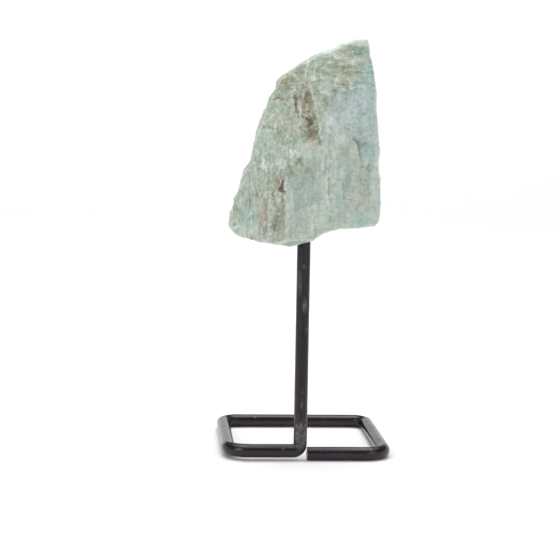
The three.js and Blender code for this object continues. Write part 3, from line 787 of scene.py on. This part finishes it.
BLOTCHES = [  # colour, strength, centre and reach in millimetres
    (ALBITE, 0.85, (10, -22, 135.4), (6, 9, 2)),
    (ROSE, 0.6, (15, -22, 134.8), (2.5, 9, 1.4)),
    (ALBITE, 0.5, (14.6, -25, 134.2), (2.2, 4, 1.2)),
    (PALE, 0.5, (15.5, -25.4, 129), (1.8, 4, 3.4)),
    (ALBITE, 0.85, (4, -22, 131.6), (4.4, 9, 2.4)),
    (DEEP, 0.5, (13.9, -26, 131.3), (2.8, 4, 1.8)),
    (PALE, 0.5, (7.2, -26, 130.6), (3.4, 4, 2.2)),
    (CREAM, 0.45, (8.5, -26, 128.4), (4, 4, 1.2)),
    (OLIVE, 0.4, (8.6, -26, 126.4), (2, 4, 1.6)),
    (SAGE, 0.45, (8, -26, 125.6), (9, 4, 2)),
    (SAGE, 0.4, (6, -26, 121.6), (4, 4, 2)),
    (SLATE, 0.4, (5.8, -26, 119.6), (2, 4, 1.8)),
    (PALE, 0.7, (2.4, -27, 120), (2, 4, 3.4)),
    (TEAL, 0.5, (15.6, -26, 125), (2.6, 4, 3.4)),
    (OLIVE, 0.3, (8.8, -26, 121.4), (2.2, 3, 1.8)),
    (SKY, 0.75, (16, -24, 114), (6, 8, 12)),
    (SKY, 0.45, (9, -26, 112), (4, 6, 6)),
    (LILAC, 0.6, (14.4, -26, 116.4), (3.4, 4, 2.6)),
    (LILAC, 0.5, (10.8, -26.6, 111.6), (2.2, 4, 4.4)),
    (LILAC, 0.75, (5.2, -27, 110), (2.6, 4, 5.6)),
    (ALBITE, 0.5, (4.4, -27, 110.4), (1.6, 4, 2.6)),
    (OLIVE, 0.8, (2.9, -27, 115.3), (1.2, 3, 2.6)),
    (CREAM, 0.6, (-7.6, -23, 125), (2.4, 5, 2)),
    (OLIVE, 0.8, (-9.7, -22.5, 120.4), (2, 5, 2.8)),
    (SAGE, 0.7, (-8.4, -23, 122.6), (2.2, 5, 2)),
    (ROSE, 0.5, (-11, -16, 122), (1.8, 6, 3.4)),
    (SAGE, 0.6, (-4.4, -25, 123), (2, 4, 5)),
    (SAGE, 0.6, (-8.6, -24, 113), (1.8, 5, 6)),
    (OLIVE, 0.7, (-3.4, -26, 118.6), (2.4, 4, 2.8)),
    (BROWN, 0.3, (-4.5, -25.5, 114.6), (3, 4, 2.4)),
    (OLIVE, 0.45, (-2.6, -26, 116), (3.4, 5, 3)),
    (BROWN, 0.5, (-2.8, -25, 115), (2.6, 5, 4.4)),
    (TAN, 0.6, (-4.3, -25.5, 113), (1.5, 4, 3.4)),
    (CREAM, 0.5, (-4.6, -25.5, 109.4), (1, 4, 2)),
    # olive staining and painted shade on the cleft's steep right wall
    (OLIVE, 0.7, (0.2, -25, 109), (1.6, 5, 5)),
    (BROWN, 0.35, (-0.6, -25, 105.2), (2.2, 5, 2.2)),
    (SAGE, 0.5, (-3.2, -26, 105.8), (1.6, 4, 2)),
    (TAN, 0.9, (-0.8, -26, 103.2), (2.4, 4, 1.3)),
    (OLIVE, 0.6, (1.3, -26, 103.2), (0.8, 3.5, 2)),
    (CREAM, 0.8, (-2.6, -26, 101.3), (3.6, 3, 1.5)),
    (PALE, 0.6, (-0.8, -27.2, 99.8), (2.6, 3, 1.8)),
    (ALBITE, 0.95, (-7.3, -26.3, 98.9), (1.3, 3, 2)),
    (PALE, 0.6, (-11, -23.5, 97.2), (1.8, 4, 2.2)),
    (ALBITE, 0.6, (-10.4, -24, 95.2), (1.7, 3, 2.2)),
    (PALE, 0.6, (-12, -21, 110), (2.6, 5, 4)),
    (PALE, 0.5, (-14.6, -20, 104.6), (3.4, 4, 3.4)),
    (ROSE, 0.6, (-8.2, -23.5, 110.4), (2.2, 4, 2.2)),
    (ROSE, 0.5, (-8.6, -23, 115.6), (1.6, 4, 2.4)),
    (SAGE, 0.45, (-12.4, -21, 105), (2.6, 4, 1.6)),
    (TEAL, 0.5, (-13, -19, 114), (2.2, 4, 1.8)),
    (TEAL, 0.4, (-9.4, -23, 112.8), (1.4, 4, 1.8)),
    (SLATE, 0.4, (-2.8, -27, 95.6), (2, 3, 2.2)),
    (PALE, 0.8, (-3.6, -26.8, 98.8), (3, 3, 1.6)),
    (ALBITE, 0.8, (-15.3, -20, 95), (1.7, 3, 1.5)),
    (SAGE, 0.85, (-5, -26, 95.8), (2.4, 3, 3)),
    (OLIVE, 0.3, (-5, -26, 96.6), (1.6, 3, 1.6)),
    (OLIVE, 0.7, (-7.4, -25.5, 93), (2.2, 3, 2.6)),
    (BROWN, 0.7, (-2.5, -27.5, 93.8), (1.4, 2, 1.1)),
    (SAGE, 0.6, (-1.6, -27.5, 92.6), (2.6, 2, 2.4)),
    (SLATE, 0.35, (-2.8, -27.5, 94), (2.6, 3, 2)),
    (TAN, 0.55, (-12.3, -23.5, 91), (1.9, 3, 2.4)),
    (TEAL, 0.4, (-15, -20, 101.5), (4, 5, 4.5)),
    # painted highlight along the lit left edge
    (ALBITE, 0.55, (-18.6, -16.5, 108), (1.6, 5, 7)),
    (PALE, 0.7, (-15.8, -18, 109.5), (1.6, 4, 3.2)),
    (SLATE, 0.4, (-10.2, -24, 91.6), (2.4, 3, 2.4)),
    (BROWN, 0.9, (-10.3, -24, 88.8), (1.7, 4, 3.4)),
    (SAGE, 0.5, (-15.5, -21, 88.2), (3.5, 5, 3)),
    (SAGE, 0.4, (-12.6, -23, 91.5), (2.4, 4, 2.4)),
    (OLIVE, 0.35, (-11.2, -24, 92.4), (2.6, 4, 2.6)),
    (SLATE, 0.5, (-4.4, -27, 91), (2, 3, 3.4)),
    (SLATE, 0.4, (-14.6, -22, 76), (4, 4, 3)),
    (PALE, 0.9, (-24.4, -15.5, 75.6), (3, 6, 3.8)),
    (PALE, 0.7, (-20.8, -17.5, 74.2), (4.4, 4, 1.8)),
    (ROSE, 0.6, (-15.6, -22.3, 80), (3.2, 4, 6)),
    (BROWN, 0.45, (-15.6, -22.3, 78), (1.8, 4, 5)),
    (BROWN, 0.5, (-11, -23.8, 77), (2, 4, 7)),
    (OLIVE, 0.4, (-9, -24.5, 81), (1.6, 3, 6)),
    (CREAM, 0.5, (-22.6, -15, 82.5), (1.6, 5, 3)),
    (SAGE, 0.4, (-24.4, -15, 79), (2, 5, 4)),
    (TEAL, 0.6, (-21, -18, 78.4), (3.4, 5, 5)),
    (PALE, 0.7, (-20, -17, 73.4), (4, 5, 2)),
    (ROSE, 0.5, (-17, -20, 72.2), (3, 5, 1.4)),
    (SKY, 0.7, (17.4, -25, 101), (4, 6, 5)),
    # these two: painted shade beside the step on the right face
    (DEEP, 0.3, (15.4, -25, 100.6), (2, 6, 4.6)),
    (DEEP, 0.45, (15.4, -26, 101.3), (2.8, 4, 2.2)),
    (SLATE, 0.5, (-4.4, -26.8, 80), (2.8, 3, 6.5)),
    (SLATE, 0.4, (0.6, -27.3, 95.6), (2.8, 3, 3)),
    (SAGE, 0.35, (3.6, -27, 112.6), (2.5, 4, 3)),
    (SLATE, 0.3, (11.5, -26.8, 102.4), (2, 3, 3)),
    (PALE, 0.7, (3.1, -27, 87), (1.5, 3, 6.5)),
    (PALE, 0.7, (2.8, -27, 98.6), (2, 3, 5.5)),
    (TAN, 0.5, (10.2, -27, 99.8), (1.7, 3, 1.5)),
    (SAGE, 0.4, (8.6, -27, 98.4), (2.6, 4, 3)),
    (ROSE, 0.5, (13, -27, 94.2), (2.4, 3, 2)),
    (SLATE, 0.45, (12.8, -26.8, 90.2), (3.8, 4, 3.4)),
    (ROSE, 0.5, (15.2, -26.8, 84), (4.4, 4, 3)),
    (SKY, 0.5, (7.3, -27, 86.6), (1.6, 4, 3.4)),
    (DEEP, 0.5, (18, -26.8, 94.8), (1.7, 3, 1.2)),
    (TEAL, 0.4, (16, -26, 112), (3, 5, 1.6)),
    (CREAM, 0.45, (0.1, -27, 76.8), (2.4, 3, 1.2)),
    (TAN, 0.3, (-3.8, -27.5, 88.3), (3.4, 2, 0.8)),
    (SLATE, 0.3, (0, -27.5, 88), (5, 3, 5)),
    (TEAL, 0.45, (15.4, -26.8, 78.6), (4.4, 5, 2.6)),
    (TEAL, 0.5, (10, -27, 96), (2.4, 4, 3)),
    (PALE, 0.6, (8, -27.4, 76.4), (6, 4, 1.4)),
    # painted highlight along the rounded right edge
    (PALE, 0.6, (19.9, -25, 100), (1.6, 4, 26)),
    (PALE, 0.6, (19.6, -26.5, 82.5), (2.2, 3, 5)),
    (PALE, 0.5, (11.6, -27.2, 80.6), (2.2, 3, 2.2)),
    (SLATE, 0.5, (10, -27, 83), (2.4, 3, 3)),
    (PALE, 0.5, (12.2, -27, 99.5), (1.6, 3, 3)),
    (PALE, 0.7, (9.4, -26.8, 104), (1.8, 3, 3.4)),
    (DEEP, 0.4, (4.9, -27.4, 78.3), (1.4, 2, 1.2)),
]

print("layers:", len(LAYERS), "blotches:", len(BLOTCHES))

# %% [markdown]
# Each layer is a Mix node on top of the last one. A chain this long has to be thrifty: the renderer
# holds 255 numbers at a time while it works a material out, and one that needs more comes out black.
# So masks are added up in one chain of sums, and textures get their places from Mapping nodes,
# because a place from a Vector Math node is converted first, and both are held.

# %% Build the amazonite material
SEAM_HALF = 0.018  # half a seam's width, in the noise that it follows
CRACK_WIDTH = 0.035  # in cells
CRUMBLY = (98, 108)  # heights between which the grain turns stronger
FELDSPAR_IOR = 1.53


def mix(tree, share, first, second):
    """Goes from the first colour to the second as share goes from 0 to 1."""
    colours = [c if isinstance(c, Value) else (*c, 1.0) for c in (first, second)]
    sockets = {0: share, 6: colours[0], 7: colours[1]}
    return tree.add("ShaderNodeMix", {"data_type": "RGBA"}, sockets, 2)


def new_material(name):
    """A material, its tree, its shader node and the place on the object in millimetres."""
    material = bpy.data.materials.new(name)
    material.use_nodes = True
    tree = Tree(material.node_tree)
    shader = material.node_tree.nodes["Principled BSDF"]
    spot = tree.add("ShaderNodeTexCoord", None, None, "Object")
    place = tree.add("ShaderNodeVectorMath", {"operation": "SCALE"}, {0: spot, 3: 1 / MM})
    return material, tree, shader, place


def weighed(masks, shares):
    """The masks added up, each times its share, in one chain of sums."""
    total = masks[0] * shares[0]
    for mask, share in zip(masks[1:], shares[1:]):
        if share:
            total = mask.math("MULTIPLY_ADD", share, total)
    return total


def amazonite():
    """The stone's finish, from the feldspar up to the grain."""
    material, tree, shader, place = new_material("amazonite")
    x, y, z = tree.axes(place)
    rough = shaken(tree, place, x, y, z)
    top = z.rise(*HIGH_UP)
    ribbed = rough & z.rise(*LOW_DOWN)
    cleft = blob(tree, place, *CLEFT) * (1 - top)
    open_faces = (1 - cleft) * (1 - top)
    masks = ((1 - rough) * open_faces, top, (rough - ribbed) * open_faces, ribbed, cleft)
    stored = {
        name: tree.add("ShaderNodeAttribute", {"attribute_name": name}, None, "Fac")
        for name in ("hollow", *MARK_KINDS)
    }
    bent = tree.shifted(place, random_shift(tree, place, 4), 2.5)

    colour = mix(tree, cleavage(tree, bent) * 0.6, MINT, PALE)
    colour = mix(tree, rough | (0.7 * top), colour, LEAF)
    for number, (tint, size, stretch, start, end, shares) in enumerate(LAYERS):
        cloud = tree.noise(bent, size, 3, 0.5, (number, 2 * number, 3 * number), stretch)
        colour = mix(tree, cloud.rise(start, end) * weighed(masks, shares), colour, tint)

    seam = tree.noise(bent, 6, 3, 0.6, offset=(2, 8, 1), stretch=(1, 1, 1.5))
    seam = seam.rise(0.5 - SEAM_HALF, 0.5) & seam.rise(0.5 + SEAM_HALF, 0.5)
    colour = mix(tree, seam * (0.35 + 0.2 * rough), colour, SAGE)

    # Its noise reads bent and not place, so it is worked out after the layers and not held till then.
    frayed = tree.shifted(place, random_shift(tree, bent, 1.6), 3)
    patchy = tree.noise(place, 0.9, detail=5, rough=0.7, offset=(0, 2, 2)).rise(0.38, 0.6)
    # Most blotches are stains; the few marked in the table are painted shade or painted highlight.
    for stain_and_painted_light, strength, centre, reach in BLOTCHES:
        share = blob(tree, frayed, centre, reach) * strength
        colour = mix(tree, share * (0.4 + 0.6 * patchy), colour, stain_and_painted_light)
    # Dark and deep green marks are mostly painted shade, brown ones stains with some painted shade, and
    # whitish ones albite with painted highlight.
    for kind, stain_and_painted_light in zip(MARK_KINDS, (DARK, DEEP, BROWN, ALBITE)):
        colour = mix(tree, stored[kind] * (0.6 + 0.4 * patchy), colour, stain_and_painted_light)

    edge = tree.cells(bent, 5, stretch=(1, 1, 1.7), feature="DISTANCE_TO_EDGE")
    crack = edge.rise(CRACK_WIDTH, 0) * tree.noise(place, 3, offset=(8, 0, 4)).rise(0.48, 0.6)
    colour = mix(tree, crack * 0.4, colour, DEEP)

    # Brown where the relief sinks in: staining, and painted shade in the hollows.
    hollow_stain_and_shade = stored["hollow"].rise(0.06, 0.34) * tree.noise(place, 6, offset=(6, 6, 0)).rise(0.35, 0.6)
    colour = mix(tree, hollow_stain_and_shade * 0.35, colour, BROWN)
    # Painted highlight: whitish where the relief stands out, on the edges.
    colour = mix(tree, stored["hollow"].rise(-0.05, -0.28) * 0.45, colour, ALBITE)

    grit = tree.noise(place, 1.1, detail=3, rough=0.6)
    across = tree.noise(bent, 0.9, 2, 0.6, stretch=(5, 5, 1))
    upright = tree.noise(bent, 0.9, 2, 0.6, stretch=(1, 1, 6))
    grain = 0.4 * grit + 0.6 * (across * top + upright * ribbed + grit * (1 - top - ribbed))
    crumbly = rough | (0.8 * top) | (0.6 * z.rise(*CRUMBLY))
    # Dark grit where the grain is low, white grit where it is high: partly real specks, partly painted
    # shade in the bump's low spots and painted glints on its high ones.
    colour = mix(tree, grain.rise(0.5, 0.34) * (0.2 + 0.24 * crumbly), colour, DEEP)
    colour = mix(tree, grain.rise(0.54, 0.68) * (0.17 + 0.22 * crumbly), colour, ALBITE)
    sockets = {"Strength": 0.7, "Distance": 0.3 * MM, "Height": grain * (0.6 + 0.4 * rough)}
    bump = tree.add("ShaderNodeBump", None, sockets)
    gloss = tree.noise(place, 2, detail=3, offset=(1, 1, 1)).rise(0.35, 0.65, 0.36, 0.52)
    tree.fill(shader, {
        "Base Color": colour,
        "Roughness": gloss + 0.14 * rough,
        "Normal": bump,
        "IOR": FELDSPAR_IOR,
        "Subsurface Weight": 0.12,
        "Subsurface Radius": (0.8, 1.0, 0.9),
        "Subsurface Scale": 1.2 * MM,
    })
    return material


stone.data.materials.clear()
stone.data.materials.append(amazonite())

print("stone nodes:", len(stone.data.materials[0].node_tree.nodes))

# %% [markdown]
# ## The rod's paint
#
# The rod has a coat of black paint, neither matt nor glossy, so it shows a soft line of light along
# its top. Handling has worn it: dull patches and specks of dust, which are noise, places that are
# rubbed grey, and chips and plier marks down to dull steel. These are listed by place, because
# wear isn't spread evenly.

# %% Build the paint material
CHIPS = [  # where the paint is gone, in millimetres: place and reach
    ((20.5, -26.8, 3.9), 0.9),
    ((-8.2, -27.5, 4), 0.9),
    ((-14, 24, 3.6), 0.8),
    ((2, -24.9, 3.8), 0.6),
]
SCUFFS = [  # where the paint is rubbed grey: how strongly, middle and reach
    (0.4, (-2.4, -27, 8.4), (2.8, 3, 4.8)),
    (0.7, (-3.7, -27.3, 8.4), (0.8, 2.5, 2.2)),
    (0.7, (-1.1, -27, 8.6), (0.8, 2.5, 2.4)),
    (0.8, (-3.7, -27, 11.3), (0.4, 2.5, 1.1)),
    (0.8, (-2.3, -27, 11.6), (0.4, 2.5, 1.1)),
    (0.7, (-1.1, -27, 11.2), (0.4, 2.5, 1.2)),
    (0.5, (-1.7, -22, 50), (0.9, 3, 2.8)),
    (0.3, (-3.5, -21.5, 57.6), (0.9, 3, 4.5)),
    (0.35, (-2.2, -21, 62.6), (0.5, 3, 0.9)),
    (0.35, (-1, -23, 42.2), (0.5, 3, 1)),
    (0.35, (-2.2, -25, 22.4), (0.4, 3, 0.8)),
    (0.35, (-2.3, -25.5, 18.4), (0.45, 3, 1.7)),
]
PAINT = (0.0095, 0.0035, 0.0098)
DULL = (0.03, 0.026, 0.029)
RUBBED = (0.16, 0.155, 0.155)
STEEL = (0.08, 0.073, 0.07)
PAINT_IOR = 1.45


def black_paint():
    """The rod's finish: paint, dull patches and dust, then what is rubbed and what is bare."""
    material, tree, shader, place = new_material("black paint")
    frayed = tree.shifted(place, random_shift(tree, place, 0.8), 0.8)
    rub = tree.noise(place, 5, detail=6, rough=0.7).rise(0.52, 0.7)
    dust = tree.noise(place, 0.7, detail=4, rough=0.75, offset=(5, 0, 0)).rise(0.64, 0.78)
    colour = mix(tree, rub * 0.3, PAINT, DULL)
    colour = mix(tree, dust * 0.2, colour, DULL)
    streaks = tree.noise(place, 0.8, detail=4, rough=0.65, offset=(0, 3, 0), stretch=(1, 1, 2))
    worn = 0.0 * streaks
    for strength, middle, reach in SCUFFS:
        worn = worn | (strength * blob(tree, frayed, middle, reach))
    worn = worn * streaks.rise(0.4, 0.6, 0.4, 1)
    colour = mix(tree, worn, colour, RUBBED)
    bare = near(tree, frayed, *CHIPS[0])
    for centre, reach in CHIPS[1:] + PLIER_MARKS:
        bare = bare | near(tree, frayed, centre, reach)
    bare = bare * tree.noise(place, 0.5, detail=3, offset=(0, 4, 0)).rise(0.4, 0.6)
    colour = mix(tree, bare, colour, STEEL)
    peel = tree.noise(place, 0.6, detail=3)
    bump = tree.add("ShaderNodeBump", None, {"Strength": 0.1, "Distance": 0.01 * MM, "Height": peel})
    gloss = tree.noise(place, 3, detail=4, offset=(2, 0, 2)).rise(0.3, 0.7, 0.15, 0.23)
    tree.fill(shader, {
        "Base Color": colour,
        "Roughness": gloss + 0.25 * worn,
        "Metallic": bare * 0.2,
        "Normal": bump,
        "IOR": PAINT_IOR,
    })
    return material


rod.data.materials.clear()
rod.data.materials.append(black_paint())

print("chips:", len(CHIPS), "scuffs:", len(SCUFFS))

# %% [markdown]
# ## Floor and light
#
# The piece stands on a plain white sweep: a round floor whose rim curves up into a wall, so there is
# no horizon behind it from any side. Black paint only shows what it mirrors, so the sweep and a wide
# soft light overhead draw the line of light along the rod. Two soft lights in front, the left one
# stronger, show the stone's relief, and one light for each side of the wall keeps the sweep white.

# %% Make the sweep
FLOOR_RADIUS = 0.95
SWEEP_RADIUS = 0.5
SWEEP_STEPS = 10

deselect_all()
bpy.ops.mesh.primitive_circle_add(vertices=96, radius=FLOOR_RADIUS, fill_type="NGON")
sweep_floor = bpy.context.object
sweep_floor.name = "sweep"
bpy.ops.object.mode_set(mode="EDIT")
bpy.ops.mesh.select_mode(type="EDGE")
bpy.ops.mesh.select_all(action="SELECT")
radius_now, height_now = FLOOR_RADIUS, 0.0
for step in range(1, SWEEP_STEPS + 1):
    angle = math.pi / 2 * step / SWEEP_STEPS
    radius_next = FLOOR_RADIUS + SWEEP_RADIUS * math.sin(angle)
    height_next = SWEEP_RADIUS * (1 - math.cos(angle))
    higher, wider = height_next - height_now, radius_next / radius_now
    bpy.ops.mesh.extrude_edges_move(TRANSFORM_OT_translate={"value": (0, 0, higher)})
    bpy.ops.transform.resize(value=(wider, wider, 1))
    radius_now, height_now = radius_next, height_next
bpy.ops.object.mode_set(mode="OBJECT")
bpy.ops.object.shade_smooth()
white, white_tree, white_shader, _ = new_material("white sweep")
white_tree.fill(white_shader, {"Base Color": (0.9, 0.9, 0.9, 1), "Roughness": 0.9})
sweep_floor.data.materials.append(white)

print("sweep height:", round(height_now, 2))

# %% Light it


def soft_light(name, at, towards, size, watts):
    """A square area light that faces a point."""
    bpy.ops.object.light_add(type="AREA", location=at)
    light = bpy.context.object
    light.name = name
    light.rotation_euler = (Vector(towards) - Vector(at)).to_track_quat("-Z", "Y").to_euler()
    light.data.size = size
    light.data.energy = watts


STONE_MIDDLE = (0, -0.014, 0.1)
WALL_WATTS = {"back": 7.5, "right": 4.5, "front": 3.5, "left": 4.5}
FILL = 0.22  # light from all round

soft_light("overhead", (0, 0.05, 0.62), (0, 0, 0.05), 0.5, 3.3)
soft_light("front right", (0.55, -0.8, 0.45), STONE_MIDDLE, 0.5, 1.45)
soft_light("front left", (-0.65, -0.65, 0.45), STONE_MIDDLE, 0.5, 2.4)
for number, (wall, watts) in enumerate(WALL_WATTS.items()):
    turn = Matrix.Rotation(-math.pi / 2 * number, 3, "Z")
    at, towards = turn @ Vector((0, 0.55, 0.85)), turn @ Vector((0, 1.35, 0.2))
    soft_light(wall + " wall", at, towards, 0.8, watts)
world = bpy.data.worlds.new("studio")
bpy.context.scene.world = world
world.use_nodes = True
background = world.node_tree.nodes["Background"]
Tree(world.node_tree).fill(background, {"Color": (1, 1, 1, 1), "Strength": FILL})
bpy.context.scene.view_settings.view_transform = "Standard"

# %% [markdown]
# ## Hand the pieces over
#
# Each piece stands for one solid of the frame and goes with its one body.

# %% Ride with the frame's body
for piece, node, slot in (
    (stone, "amazonite_stone", "amazonite"),
    (rod, "rod_stand", "black_rod"),
):
    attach(piece, "root")
    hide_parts(node)
